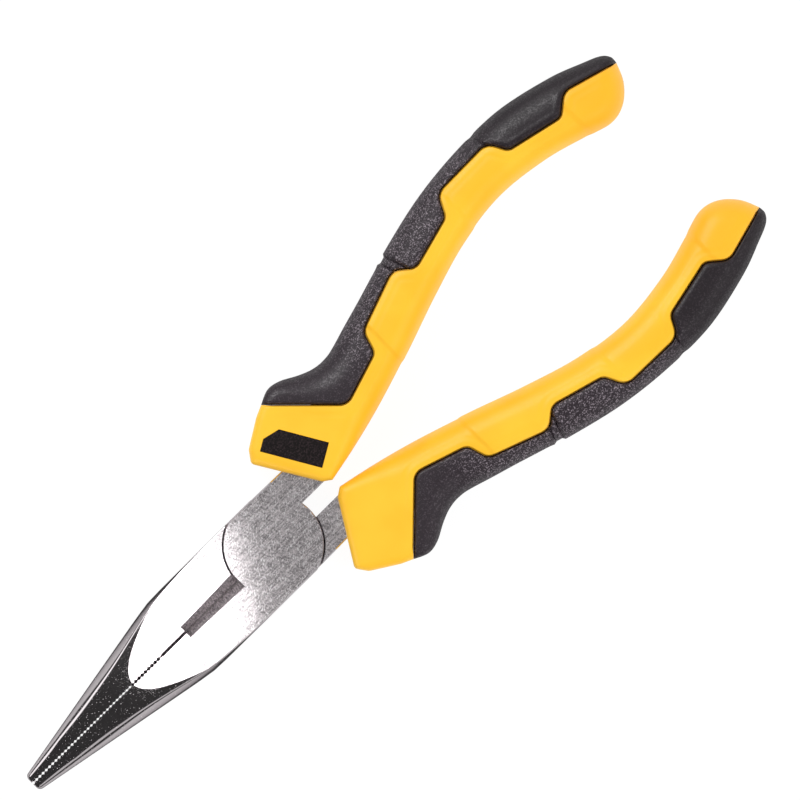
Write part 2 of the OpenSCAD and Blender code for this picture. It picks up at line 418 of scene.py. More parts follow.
def jaw_stations():
    """Places along the jaw where a section is taken: at each tooth's crest and root, and round the tip."""
    teeth = np.arange(TEETH_START, NOSE - TIP_ROUND, TOOTH_PITCH / 2)
    head = np.concatenate([np.linspace(0, CUTTER_END, 22), np.linspace(CUTTER_END, TEETH_START, 10)])
    apex = FLAT_END - np.array([0.6, 0.3, 0.12, 0.03, 0])
    tip = NOSE - TIP_ROUND + TIP_ROUND * np.sin(np.radians(np.arange(0, 91, 10)))
    stations = np.unique(np.round(np.concatenate([head, teeth, apex, tip]), 4))
    return stations[np.concatenate([[True], np.diff(stations) > 0.015])]


def tip_rounding(x):
    """0 along the jaw, rising to 1 at its rounded tip."""
    into_tip = np.clip((x - (NOSE - TIP_ROUND)) / TIP_ROUND, 0, 1)
    return 1 - math.sqrt(1 - into_tip ** 2)


def jaw_half_width(x):
    """Half the width of the closed jaws, which narrow towards the nose."""
    taper = (JAW_SIDE - TIP_HALF) / (NOSE - TAPER_START)
    width = JAW_SIDE - taper * max(0, x - TAPER_START)
    softened = TAPER_SOFTENING * taper * bump(x, TAPER_START, TAPER_SOFT_REACH)
    return width - softened - TIP_ROUND * tip_rounding(x)


def crossing(top, side, low, high):
    """The y between low and high beyond which the top lies above the side."""
    for _ in range(40):
        middle = (low + high) / 2
        if top(middle) > side(middle):
            high = middle
        else:
            low = middle
    return (low + high) / 2


def jaw_section(x):
    """The upper half of the jaw's section at x as [y, z], from the seam over the top to the side."""
    seam = float(tooth_wave(x))
    half_width = jaw_half_width(x)
    places, radii = zip(*SIDE_ROUNDNESS)
    radius = 1 / np.interp(x, places, [1 / r for r in radii])
    tip_drop = TIP_DROP * tip_rounding(x)

    def top(y):
        return min(HALF, HALF - CROWN_SLOPE * (x - FLAT_END) - y * y / (2 * CROWN_RADIUS)) - tip_drop

    def side(y):
        inside = radius ** 2 - (radius - (half_width - y)) ** 2
        return math.sqrt(inside) if half_width - y < radius and inside > 0 else radius

    def on_side(z):
        return half_width - radius + math.sqrt(radius ** 2 - z ** 2), z

    edge_y = crossing(top, side, seam, half_width)
    edge_z = top(edge_y)
    edge = np.interp(x, *zip(*EDGE_ROUNDING))
    top_end = max(edge_y - edge, seam + SEAM_EDGE + 0.05)
    flat_until = math.sqrt(max(0, 2 * CROWN_RADIUS * CROWN_SLOPE * (FLAT_END - x)))
    flat_until = min(max(flat_until, seam + SEAM_EDGE), top_end)

    section = seam_wall(x, top(seam) - SEAM_EDGE)
    section += [(y, top(y)) for y in np.linspace(seam + SEAM_EDGE, flat_until, 8)]
    section += [(y, top(y)) for y in np.linspace(flat_until, top_end, 11)[1:]]
    start = np.array([top_end, top(top_end)])
    corner = np.array([edge_y, edge_z])
    side_z = edge_z - edge
    stop = np.array(on_side(side_z))
    for t in np.linspace(0, 1, 8)[1:]:
        point = (1 - t) ** 2 * start + 2 * t * (1 - t) * corner + t * t * stop
        section.append(tuple(point))
    return section + [on_side(z) for z in side_z * np.cos(np.linspace(0, math.pi / 2, 17))[1:]]


def jaw():
    """One jaw through all its sections, from the pivot to the nose."""
    rings = []
    for x in jaw_stations():
        upper = jaw_section(x)
        lower = [(y, -z) for y, z in upper[-2:0:-1]]
        rings.append([(x, y, z) for y, z in upper + lower])
    return lofted("jaw", rings, weld=0.0005)


def head_section(low_y, high_y, chamfer_low, chamfer_high):
    """The head's cross-section as [y, z], with either long side chamfered."""
    a, b = chamfer_low, chamfer_high
    corners = [
        (low_y + a, -HALF), (high_y - b, -HALF), (high_y, b - HALF), (high_y, HALF - b),
        (high_y - b, HALF), (low_y + a, HALF), (low_y, HALF - a), (low_y, a - HALF),
    ]
    return [c for i, c in enumerate(corners) if c != corners[i - 1]]


def cutter_opening(side):
    """The cutter's opening on one face: a steep wall, then the bevel down to a narrow slot at the edge."""

    def section(width):
        above = HALF + BEYOND
        bevel = [
            (-BEYOND, CUTTER_FLOOR), (CONTACT, CUTTER_FLOOR), CUTTER_LIP,
            (width - CUTTER_WALL_SLANT, CUTTER_WALL_FOOT), (width, HALF), (width, above), (-BEYOND, above),
        ]
        return [(y, z * side) for y, z in bevel]

    return bar("cutter", section(CUTTER_HALF), CUTTER_START, CUTTER_END, section(CUTTER_HALF_FRONT))


def rivet_profile(clearance=0, past=0):
    """Half the rivet's section as [radius, z], with flared ends that may run past the flats."""
    foot = HALF - RIVET_FLARE
    radius = RIVET_RADIUS + clearance
    rim = radius + RIVET_FLARE + past
    return [(0, -HALF - past), (rim, -HALF - past), (radius, -foot),
            (radius, foot), (rim, HALF + past), (0, HALF + past)]


def tang():
    """The flat tang that runs down inside the grip."""
    line = evenly(smooth_path(TANG_LINE, 6), 2)
    step = np.gradient(line, axis=0)
    out = np.column_stack([-step[:, 1], step[:, 0]]) / np.linalg.norm(step, axis=1)[:, None]
    ring = np.vstack([line + out * TANG_WIDTH / 2, (line - out * TANG_WIDTH / 2)[::-1]])
    return prism("tang", ring * [1, -1], -TANG_THICKNESS / 2, TANG_THICKNESS / 2)


def tang_root():
    """The full thickness part between the disc and the grip."""
    rear = head_section(-TANG_SIDE_REAR, -SLOT_HALF, HEAD_EDGE, 0)
    front = head_section(-TANG_SIDE, -SLOT_HALF, HEAD_EDGE, 0)
    return bar("root", rear, ROOT_END, 0, front)


def lever_body():
    """A lever with its jaw, half disc, tang root and tang, but with no bore for the rivet."""
    body = jaw()
    combine(body, tang_root(), "UNION")
    lap = LAP_GAP / 2
    below = -HALF - BEYOND
    recess = turned("recess", [(0, below), (RECESS_RADIUS, below), (RECESS_RADIUS, lap), (0, lap)])
    combine(body, recess, "DIFFERENCE")
    disc = turned("disc", [
        (0, lap), (DISC_RADIUS, lap), (DISC_RADIUS, HALF - DISC_EDGE),
        (DISC_RADIUS - DISC_EDGE, HALF), (0, HALF),
    ])
    sides = bar("sides", head_section(-TANG_SIDE, JAW_SIDE, HEAD_EDGE, HEAD_EDGE), -PAST_DISC, PAST_DISC)
    combine(disc, sides, "INTERSECT")
    combine(body, disc, "UNION")
    combine(body, cutter_opening(1), "DIFFERENCE")
    combine(body, cutter_opening(-1), "DIFFERENCE")
    combine(body, tang(), "UNION")
    return body


def is_head_flat(face):
    """True for a face that lies in the head's upper or lower flat."""
    return abs(face.normal.z) > 0.9999 and abs(abs(face.calc_center_median().z) - HALF) < 0.01


def mark_ground_faces(piece):
    """The cutter, the seam between the jaws and the faces round the discs take the second material, the
    darker ground steel. Round the discs its darkness is partly painted shade for the narrow gap between the
    laps.
    """
    for face in piece.data.polygons:
        x, y, z = face.center
        aside = abs(y)
        depth = HALF - abs(z)
        flat = abs(face.normal.z) > 0.999 and depth < 0.01
        in_cutter = CUTTER_START - 0.1 < x < CUTTER_END + 0.05 and aside < CUTTER_HALF + 0.15 and depth > 0.01
        in_seam = CUTTER_END < x < FLAT_END + 0.6 and aside < TOOTH_DEPTH + 0.02 and depth > 0.03
        # Faces round the discs: machined steel, and darker partly as painted shade in the gap between the
        # laps
        in_lap_ground_and_shade = math.hypot(x, y) < RECESS_RADIUS + 0.05 and aside < JAW_SIDE - 0.4 and depth > 0.05
        face.material_index = 1 if (in_cutter or in_seam or in_lap_ground_and_shade) and not flat else 0


def lever(name, body, clearance, steels):
    """A copy of the lever with its bore for the rivet and its two steels, forged and ground."""
    piece = copy_of(body, name)
    combine(piece, turned("bore", rivet_profile(clearance, BEYOND)), "DIFFERENCE")
    shade(piece, STEEL_CREASE, is_head_flat)
    piece.data.materials.clear()
    for look in steels:
        piece.data.materials.append(look)
    mark_ground_faces(piece)
    return piece


# ---- Grips ----

# The grip's half thickness along its length, when its thickest part is PROFILE_TOP: [x, half thickness]
PROFILE = [
    (-104, 4.0), (GRIP_END, 4.9), (-96, 5.75), (-90, 6.3), (-82, 6.5), (-60, 6.5),
    (-40, 6.5), (-20, 6.5), (-12, 6.5), (-7, 6.35), (-4, 6.2),
]
PROFILE_TOP = 6.5

# Where along x the handle's shape turns into the collar's: [handle, collar]
COLLAR_BLEND = (-28, -14)

# How far the face rounds down from each edge, and by what share: [along the handle, at the collar]
INNER_ROLL = (5.4, 2.0)
OUTER_ROLL = (6.5, 1.7)
ROLL_SHARE = (0.93, 0.24)

# The yellow pad between two cross creases and the bulb at the end stand a little proud of the rest
PAD_START = -38.0
PAD_END = -63.0
BULB_START = -88.5
PAD_FRONT_BLEND = 0.45
PAD_REAR_BLEND = 0.6
PAD_RISE = 0.3
PAD_STEP = 0.15

# Low waves of the yellow face beside the skin: [distance from it, width, height]
YELLOW_WAVES = [(0.8, 0.4, 0.045), (1.5, 0.35, -0.035), (2.2, 0.5, 0.02)]

# The slant of the lines across the handle, and the v at which their place is taken
CROSS_SLANT = 0.3
HANDLE_MIDDLE = 21

# The skin's sunken neck between two creases, the lower part in front of it, and the step towards its rear
NECK = -48.0
NECK_HALF = 0.8
NECK_BLEND = 0.15
NECK_SINK = 0.35
NECK_DROP = 0.42
NECK_CREASE = 0.85
NECK_RIDGE = 0.25
FRONT_START = (-32, -40)
FRONT_DROP = 0.2
REAR_STEP = -75.0
REAR_CREASE = 0.5
REAR_DROP = 0.16
REAR_RISE = 0.14

# Half the width of the groove between the two plastics where it is open and closed, and its depth
SKIN_GAP = 0.2
CLOSED_GAP = 0.02
GROOVE_DEPTH = 1.1
GROOVE_SLOPE = 0.06

# Where along x the groove opens at its two ends: [closed, open]
GROOVE_FRONT = (-15.6, -17)
GROOVE_REAR = (-100.2, -99)

# The least half thickness of a grip's face
THINNEST = 0.3

# A grip's grid of points: the least distance between columns and before the last one, the share of a column
# that its edge rows may take, and those rows beside a free edge and beside the skin, as distances from it
COLUMN_STEP = 0.035
LAST_STEP = 0.02
EDGE_SHARE = 0.86
FREE_OFFSETS = [0, 0.015, 0.06, 0.14, 0.26, 0.42, 0.64, 0.92, 1.26, 1.68, 2.2, 2.8, 3.5]
SKIN_OFFSETS = [0, 0.015, 0.05, 0.1, 0.17, 0.26, 0.4, 0.6, 0.82, 1.06, 1.32, 1.6, 1.9, 2.25]

# The rigid tongue under the skin: its ends, and how far it stays inside the grip on every side
TONGUE_START = -21
TONGUE_END = -94.5
TONGUE_COVER = 2.8
TONGUE_FROM_OUTER = 3.0
TONGUE_FROM_INNER = 2.6

inner_edge = smooth_path(INNER_EDGE)
outer_edge = smooth_path(OUTER_EDGE)
skin_edge = rounded_path(SKIN_EDGE)
collar_edge = rounded_path([INNER_EDGE[-1] + (0,)] + COLLAR + [SKIN_EDGE[0]])
thickness_line = smooth_path(PROFILE)


def groove_half_width(x):
    """Half the groove's width, which closes at both ends of the skin's edge."""
    opening = smoothstep(*GROOVE_FRONT, x) * smoothstep(*GROOVE_REAR, x)
    return between(opening, CLOSED_GAP, SKIN_GAP)


def raised_pad(x):
    """1 on the yellow pad and on the end bulb, and 0 between them."""
    pad = step_at(PAD_START, -PAD_FRONT_BLEND, x) * step_at(PAD_END, PAD_REAR_BLEND, x)
    return pad + step_at(BULB_START, -PAD_REAR_BLEND, x)


def along_handle(points):
    """A place along the handle, with its cross lines square to the handle's outer edge."""
    return points[:, 0] - CROSS_SLANT * (points[:, 1] - HANDLE_MIDDLE)


def in_neck(s):
    """1 in the skin's neck and 0 on both sides of it."""
    return step_at(NECK + NECK_HALF, -NECK_BLEND, s) * step_at(NECK - NECK_HALF, NECK_BLEND, s)


def stepped_inner_edge():
    """The shell's inner edge, with the pad and the bulb standing proud."""
    edge = evenly(inner_edge, 0.35)
    edge[:, 1] -= PAD_STEP * raised_pad(edge[:, 0]) * smoothstep(GRIP_END, -97, edge[:, 0])
    return edge


def stepped_outer_edge():
    """The skin's outer edge, with its neck and its step."""
    edge = evenly(outer_edge, 0.35)
    s = along_handle(edge)
    drop = NECK_DROP * in_neck(s)
    drop += FRONT_DROP * smoothstep(NECK, NECK + 2.5, s) * smoothstep(*FRONT_START, s)
    drop += REAR_DROP * bump(s, REAR_STEP, 0.8)
    edge[:, 1] -= drop
    return edge


inner_line = stepped_inner_edge()
outer_line = stepped_outer_edge()
fine_skin = evenly(skin_edge, 0.22)
fine_collar = evenly(collar_edge, 0.3)
collar_front = np.argmax(fine_collar[:, 0])
inner_side = np.vstack([inner_line, fine_collar[:collar_front + 1]])
outer_side = np.vstack([fine_collar[collar_front:], outer_line])


def roll(distance, reach):
    """0 inside the flat of a face, rising to 1 at a rounded edge that is reach wide."""
    t = np.clip(1 - distance / reach, 0, 1)
    return 1 - np.sqrt(1 - t ** 3)


def grip_face(points):
    """The grip's half thickness where neither the skin's edge nor small details change it."""
    x = points[:, 0]
    half = np.interp(x, thickness_line[:, 0], thickness_line[:, 1]) * HALF_GRIP / PROFILE_TOP
    in_collar = smoothstep(*COLLAR_BLEND, x)
    inner = roll(distance_to(inner_side, points), between(in_collar, *INNER_ROLL))
    outer = roll(distance_to(outer_side, points), between(in_collar, *OUTER_ROLL))
    both = np.minimum(1, (inner ** 6 + outer ** 6) ** (1 / 6))
    return half * (1 - between(in_collar, *ROLL_SHARE) * both)


def edge_fillet(distance, radius):
    """How far a rounded edge lies below its face at a distance from the edge."""
    t = np.clip(radius - distance, 0, radius)
    return radius - np.sqrt(radius ** 2 - t ** 2)


def yellow_face(points):
    """The shell's half thickness: rounded, with the raised pad and low waves beside the skin."""
    x = points[:, 0]
    to_skin = distance_to(fine_skin, points) - SKIN_GAP
    waves = sum(height * bump(to_skin, distance, width) for distance, width, height in YELLOW_WAVES)
    face = grip_face(points) - edge_fillet(to_skin, 0.22)
    face += waves * smoothstep(-17, -24, x)
    face += PAD_RISE * (raised_pad(x) - 1) * smoothstep(-24, -34, x)
    return np.maximum(face, THINNEST)


def skin_face(points):
    """The skin's half thickness: rounded, with its neck, creases and steps."""
    s = along_handle(points)
    to_skin = distance_to(fine_skin, points) - SKIN_GAP
    face = grip_face(points) - edge_fillet(to_skin, 0.5)
    face -= NECK_SINK * in_neck(s)
    for line in (NECK - NECK_HALF, NECK + NECK_HALF):
        face -= NECK_CREASE * bump(s, line, 0.14)
    face += NECK_RIDGE * bump(s, NECK - NECK_HALF - 0.6, 0.28)
    face += 0.1 * bump(to_skin, 0.9, 0.4) * smoothstep(NECK - 1, NECK - 4, s)
    face -= REAR_CREASE * bump(s, REAR_STEP, 0.2)
    face += REAR_RISE * smoothstep(REAR_STEP - 0.6, REAR_STEP, s) * smoothstep(NECK, NECK - 3, s)
    return np.maximum(face, THINNEST)


def chains(ring):
    """A closed outline as its lower and upper sides, each running towards +X."""
    ring = np.roll(ring, -int(np.argmin(ring[:, 0])), axis=0)
    turn = int(np.argmax(ring[:, 0]))
    first, second = ring[:turn + 1], np.vstack([ring[turn:], ring[:1]])[::-1]
    pair = sorted([first, second], key=lambda side: side[:, 1].mean())
    for side in pair:
        side[:, 0] = np.maximum.accumulate(side[:, 0])
    return pair


def smoothed(values, reach=3):
    """Each value's mean with its neighbours."""
    kernel = np.ones(2 * reach + 1) / (2 * reach + 1)
    return np.convolve(np.pad(values, reach, mode="edge"), kernel, "valid")


def column_points(ring, low_offsets, high_offsets, middle):
    """A grid over an outline: columns across the handle, with rows gathered along both edges.

    middle is how many rows lie between those of the two edges.
    """
    lower, upper = chains(ring)
    xs = np.unique(np.concatenate([lower[:, 0], upper[:, 0]]))
    kept = [xs[0]]
    for x in xs[1:-1]:
        if x - kept[-1] > COLUMN_STEP and xs[-1] - x > LAST_STEP:
            kept.append(x)
    xs = np.array(kept + [xs[-1]])
    low = np.interp(xs, lower[:, 0], lower[:, 1])
    high = np.interp(xs, upper[:, 0], upper[:, 1])
    for end in (0, -1):
        low[end] = high[end] = (low[end] + high[end]) / 2
    stretch_low = smoothed(np.clip(np.hypot(1, np.gradient(low, xs)), 1, 3))
    stretch_high = smoothed(np.clip(np.hypot(1, np.gradient(high, xs)), 1, 3))
    grid = []
    for x, a, b, sa, sb in zip(xs, low, high, stretch_low, stretch_high):
        from_low = np.array(low_offsets) * sa
        from_high = np.array(high_offsets) * sb
        share = min(1, EDGE_SHARE * (b - a) / (from_low[-1] + from_high[-1]))
        v_low = a + from_low * share
        v_high = b - from_high[::-1] * share
        inner_rows = np.linspace(v_low[-1], v_high[0], middle + 2)[1:-1]
        grid.append([(x, v) for v in np.concatenate([v_low, inner_rows, v_high])])
    return np.array(grid)


def groove_wall(edge, edge_height, side):
    """Four lines of points down a piece's wall along the skin's edge, between its upper and lower face.

    The wall stands back near the faces and reaches out to the other plastic below the groove.
    """
    run = np.gradient(edge, axis=0)
    run /= np.linalg.norm(run, axis=1)[:, None]
    outward = np.column_stack([-run[:, 1], run[:, 0]]) * side
    on_skin = (edge[:, 0] < SKIN_EDGE[0][0] - 0.1) & (edge[:, 0] > SKIN_EDGE[-1][0] + 0.2)
    reach = np.where(on_skin, groove_half_width(edge[:, 0]) - CLOSED_GAP / 2, 0)
    closed = edge + outward * reach[:, None]
    inside = np.ones(len(edge))
    inside[[0, -1]] = 0
    wall = []
    for path, depth in ((edge, GROOVE_DEPTH), (closed, GROOVE_DEPTH + GROOVE_SLOPE)):
        level = np.maximum(edge_height - depth * inside, 0.2)
        wall.append(np.column_stack([path[:, 0], -path[:, 1], level]))
    return wall + [layer * [1, 1, -1] for layer in wall[::-1]]


def grip_solid(name, ring, face, low_offsets, high_offsets, middle, skin_row):
    """A solid with the same moulded face above and below, and a groove along the skin's edge.

    The grid's row skin_row, 0 or -1, runs along the skin's edge.
    """
    grid = column_points(ring, low_offsets, high_offsets, middle)
    columns, rows = grid.shape[:2]
    flat = grid.reshape(-1, 2)
    height = face(flat).reshape(columns, rows)
    for end in (0, -1):
        height[end] = height[end].mean()
    wall = groove_wall(grid[:, skin_row], height[:, skin_row], 1 if skin_row else -1)
    height = height.ravel()
    top = np.column_stack([flat[:, 0], -flat[:, 1], height])
    bottom = np.column_stack([flat[:, 0], -flat[:, 1], -height])
    under = len(top)
    wall_starts = [2 * under + k * columns for k in range(len(wall))]
    faces = []
    for i in range(columns - 1):
        for j in range(rows - 1):
            a, b = i * rows + j, (i + 1) * rows + j
            faces.append((a, b, b + 1, a + 1))
            faces.append((under + a, under + a + 1, under + b + 1, under + b))
        for j in (0, rows - 1):
            a, b = i * rows + j, (i + 1) * rows + j
            if j != skin_row % rows:
                faces.append((a, b, under + b, under + a))
                continue
            here = [a] + [start + i for start in wall_starts] + [under + a]
            there = [b] + [start + i + 1 for start in wall_starts] + [under + b]
            faces += [(here[k], there[k], there[k + 1], here[k + 1]) for k in range(len(here) - 1)]
    return mesh_object(name, np.vstack([top, bottom] + wall), faces, weld=0.0004)


def tongue():
    """The part of the rigid shell that runs under the soft skin."""
    height = HALF_GRIP - TONGUE_COVER

    def inset(path, distance):
        return [(x, -v - distance) for x, v in evenly(path, 1.5) if TONGUE_END < x < TONGUE_START]

    outline = inset(outer_edge, -TONGUE_FROM_OUTER) + inset(inner_edge, TONGUE_FROM_INNER)
    return prism("tongue", outline, -height, height)


def badge_outline(grow=0.0):
    """The badge's outline as [x, y], with one corner cut off, and larger all round by grow."""
    along = np.array([math.cos(BADGE_TURN), math.sin(BADGE_TURN)])
    across = np.array([-along[1], along[0]])
    w, h = BADGE_SIZE[0] + grow, BADGE_SIZE[1] + grow
    corners = [(-grow, -grow), (w, -grow), (w, BADGE_CUT), (w - BADGE_CUT, h), (-grow, h)]
    return [(np.array(BADGE_CORNER) + a * along + b * across) * [1, -1] for a, b in corners]


def shell_body():
    """The rigid yellow shell, with its tongue, the socket for the tang and the badge's pocket."""
    ring = np.vstack([inner_line, fine_collar[:-1], shifted(fine_skin, -groove_half_width(fine_skin[:, 0]))])
    body = grip_solid("shell", ring, yellow_face, FREE_OFFSETS, SKIN_OFFSETS, middle=8, skin_row=-1)
    combine(body, tongue(), "UNION")
    combine(body, tang_root(), "DIFFERENCE")
    combine(body, tang(), "DIFFERENCE")
    floor = HALF_GRIP - BADGE_SINK - BADGE_DEPTH
    return combine(body, prism("pocket", badge_outline(BADGE_GAP), floor, HALF_GRIP + BEYOND), "DIFFERENCE")


def skin_body():
    """The soft skin, hollowed for the tongue."""
    ring = np.vstack([shifted(fine_skin, groove_half_width(fine_skin[:, 0])), outer_line[:0:-1]])
    body = grip_solid("skin", ring, skin_face, SKIN_OFFSETS, FREE_OFFSETS, middle=6, skin_row=0)
    return combine(body, tongue(), "DIFFERENCE")


def badge_body():
    """The badge plate, with a fine bevel round its face."""
    top = HALF_GRIP - BADGE_SINK
    plate = prism("badge", badge_outline(), top - BADGE_DEPTH, top)
    bevel = plate.modifiers.new("edge", "BEVEL")
    bevel.width = BADGE_BEVEL
    bevel.segments = 3
    bevel.limit_method = "ANGLE"
    mesh = bpy.data.meshes.new_from_object(plate.evaluated_get(bpy.context.evaluated_depsgraph_get()))
    plate.modifiers.clear()
    plate.data = mesh
    return plate


# ---- Shader helpers ----

def link(tree, source, target):
    tree.links.new(source, target)


def empty_material(name):
    """A new material, its node tree and the socket that takes its surface."""
    material = bpy.data.materials.new(name)
    material.use_nodes = True
    tree = material.node_tree
    tree.nodes.clear()
    output = tree.nodes.new("ShaderNodeOutputMaterial")
    return material, tree, output.inputs["Surface"]


def new_material(name):
    """A new material with one principled shader."""
    material, tree, surface = empty_material(name)
    shader = tree.nodes.new("ShaderNodeBsdfPrincipled")
    link(tree, shader.outputs[0], surface)
    return material, tree, shader


def give(tree, socket, value):
    """Sets a socket to a number or a colour, or links another socket to it."""
    if isinstance(value, (int, float)):
        socket.default_value = value
    elif isinstance(value, tuple):
        socket.default_value = (*value, 1)
    else:
        link(tree, value, socket)


def set_up(tree, node, inputs):
    """Gives several of a node's inputs, by name, what they should have."""
    for name, value in inputs.items():
        give(tree, node.inputs[name], value)


def math_node(tree, operation, *values):
    """Arithmetic on values that are numbers or sockets."""
    node = tree.nodes.new("ShaderNodeMath")
    node.operation = operation
    for i, value in enumerate(values):
        give(tree, node.inputs[i], value)
    return node.outputs[0]


def add(tree, first, second):
    return math_node(tree, "ADD", first, second)


def multiply(tree, first, second):
    return math_node(tree, "MULTIPLY", first, second)


def rest_of(tree, value):
    """1 minus the value."""
    return math_node(tree, "SUBTRACT", 1.0, value)


def ramp(tree, value, low, high, out_low=0.0, out_high=1.0):
    """The value's range low to high carried to another range, smoothly."""
    node = tree.nodes.new("ShaderNodeMapRange")
    node.interpolation_type = "SMOOTHSTEP"
    for i, given in enumerate((value, low, high, out_low, out_high)):
        give(tree, node.inputs[i], given)
    return node.outputs[0]


def mix_colour(tree, factor, first, second):
    """The colour that lies a factor of the way from the first to the second."""
    node = tree.nodes.new("ShaderNodeMix")
    node.data_type = "RGBA"
    for i, value in ((0, factor), (6, first), (7, second)):
        give(tree, node.inputs[i], value)
    return node.outputs[2]


def split_axes(tree, vector):
    """The x, y and z of a vector."""
    node = tree.nodes.new("ShaderNodeSeparateXYZ")
    link(tree, vector, node.inputs[0])
    return node.outputs[:3]


def own_coordinates(tree):
    """A place on the object in its own frame, which turns with its body."""
    return tree.nodes.new("ShaderNodeTexCoord").outputs["Object"]


def place_in_mm(tree, scale, turn=0.0):
    """The object's own coordinates, in millimetres, turned about Z and stretched."""
    mapping = tree.nodes.new("ShaderNodeMapping")
    mapping.vector_type = "TEXTURE"
    mapping.inputs["Rotation"].default_value = (0, 0, turn)
    mapping.inputs["Scale"].default_value = tuple(MM * s for s in scale)
    link(tree, own_coordinates(tree), mapping.inputs["Vector"])
    return mapping.outputs[0]


def noise(tree, size, detail, roughness, turn=0.0):
    """Noise whose grains are size millimetres across, or [x, y, z] millimetres."""
    sizes = (size,) * 3 if isinstance(size, (int, float)) else size
    node = tree.nodes.new("ShaderNodeTexNoise")
    where = place_in_mm(tree, sizes, turn)
    set_up(tree, node, {"Scale": 1, "Detail": detail, "Roughness": roughness, "Vector": where})
    return node.outputs["Fac"]


def relief(tree, shader, height, depth, strength):
    """Bumps of the given depth in millimetres on the shader's normal."""
    node = tree.nodes.new("ShaderNodeBump")
    set_up(tree, node, {"Strength": strength, "Distance": depth * MM, "Height": height})
    link(tree, node.outputs[0], shader.inputs["Normal"])


def use_in_reflections(tree, seen_directly, reflected, target):
    """Sends one shader to the target, and another one wherever a reflection looks at it."""
    path = tree.nodes.new("ShaderNodeLightPath")
    mix = tree.nodes.new("ShaderNodeMixShader")
    link(tree, path.outputs["Is Glossy Ray"], mix.inputs[0])
    link(tree, seen_directly.outputs[0], mix.inputs[1])
    link(tree, reflected.outputs[0], mix.inputs[2])
    link(tree, mix.outputs[0], target)


# ---- Materials ----

# How bright the polished steel is, and its red, green and blue as shares of that
STEEL_TONE = 0.92
STEEL_TINT = (1.0, 0.93, 0.955)

# Base colours: [dark, light]
GROUND_COLOURS = ((0.16, 0.142, 0.148), (0.85, 0.775, 0.80))
YELLOW_COLOURS = ((0.93, 0.495, 0.015), (0.97, 0.54, 0.023))
YELLOW_END = (0.95, 0.425, 0.008)
# The rubber's light colour is painted glints: light specks of its sandy grain
RUBBER_AND_GLINT_COLOURS = ((0.022, 0.015, 0.020), (0.27, 0.225, 0.255))
RUBBER_END = (0.004, 0.002, 0.003)
BADGE_COLOURS = ((0.003, 0.001, 0.001), (0.035, 0.022, 0.025))


def steel_material(name):
    """Forged steel: brushed on the flats, polished on the nose and the sides."""
    material, tree, shader = new_material(name)
    geometry = tree.nodes.new("ShaderNodeNewGeometry")
    upright = math_node(tree, "ABSOLUTE", split_axes(tree, geometry.outputs["True Normal"])[2])
    on_flat = ramp(tree, upright, 0.992, 0.997)
    streaks = noise(tree, (2.0, 0.2, 0.3), 3, 0.6)
    scratches = noise(tree, (0.17, 1.5, 0.3), 2, 0.6, 0.5)
    specks = noise(tree, 0.27, 2, 0.7)
    patches = noise(tree, 5.0, 2, 0.5)
    sparkle = noise(tree, (0.6, 0.15, 0.3), 1, 0.5, 1.0)
    dust = ramp(tree, noise(tree, 0.17, 0, 0.5), 0.77, 0.82)
    grain = add(tree, multiply(tree, streaks, 0.6), multiply(tree, scratches, 0.4))
    mixed = add(tree, grain, multiply(tree, specks, 0.5))

    brushed = ramp(tree, mixed, 0.56, 0.94, STEEL_TONE * 0.28, STEEL_TONE * 0.95)
    brightness = add(tree, brushed, ramp(tree, sparkle, 0.57, 0.68, 0.0, 0.55))
    flat_tone = multiply(tree, brightness, ramp(tree, patches, 0.3, 0.7, 0.93, 1.05))
    polished = multiply(tree, rest_of(tree, on_flat), STEEL_TONE * 0.95)
    level = add(tree, multiply(tree, flat_tone, on_flat), polished)
    tint = tree.nodes.new("ShaderNodeCombineColor")
    for channel, share in enumerate(STEEL_TINT):
        link(tree, multiply(tree, level, share), tint.inputs[channel])
    set_up(tree, shader, {
        "Base Color": tint.outputs[0],
        "Metallic": rest_of(tree, dust),
        "Specular Tint": (0.35, 0.34, 0.35),
        "Roughness": add(tree, multiply(tree, on_flat, 0.2), ramp(tree, streaks, 0.3, 0.7, 0.08, 0.13)),
    })
    depth = add(tree, multiply(tree, on_flat, 0.9), 0.1)
    relief(tree, shader, multiply(tree, mixed, depth), 0.02, 0.7)
    return material


def ground_material(name):
    """Ground tool steel in the cutter, on the teeth and round the discs: darker and coarser. Round the discs
    the darkness is partly painted shade in the gap between the laps.
    """
    material, tree, shader = new_material(name)
    grain = noise(tree, (0.16, 0.5, 0.5), 3, 0.7)
    colour = mix_colour(tree, ramp(tree, grain, 0.36, 0.66), *GROUND_COLOURS)
    set_up(tree, shader, {"Base Color": colour, "Metallic": 0.15, "Roughness": 0.55})
    relief(tree, shader, grain, 0.05, 0.8)
    return material


def yellow_material(name):
    """Hard moulded plastic with a satin skin, deeper in colour on the end bulb."""
    material, tree, shader = new_material(name)
    clouds = noise(tree, 9.0, 2, 0.5)
    fine = noise(tree, 0.35, 3, 0.6)
    x = split_axes(tree, own_coordinates(tree))[0]
    to_end = ramp(tree, x, -82 * MM, -92 * MM, 0.0, 0.6)
    body = mix_colour(tree, ramp(tree, clouds, 0.3, 0.7), *YELLOW_COLOURS)
    set_up(tree, shader, {
        "Base Color": mix_colour(tree, to_end, body, YELLOW_END),
        "Roughness": ramp(tree, fine, 0.3, 0.7, 0.36, 0.48),
        "Specular IOR Level": 0.42,
        "Sheen Weight": 0.35,
        "Sheen Roughness": 0.35,
        "Sheen Tint": (1.0, 0.93, 0.6),
    })
    relief(tree, shader, fine, 0.012, 0.6)
    return material


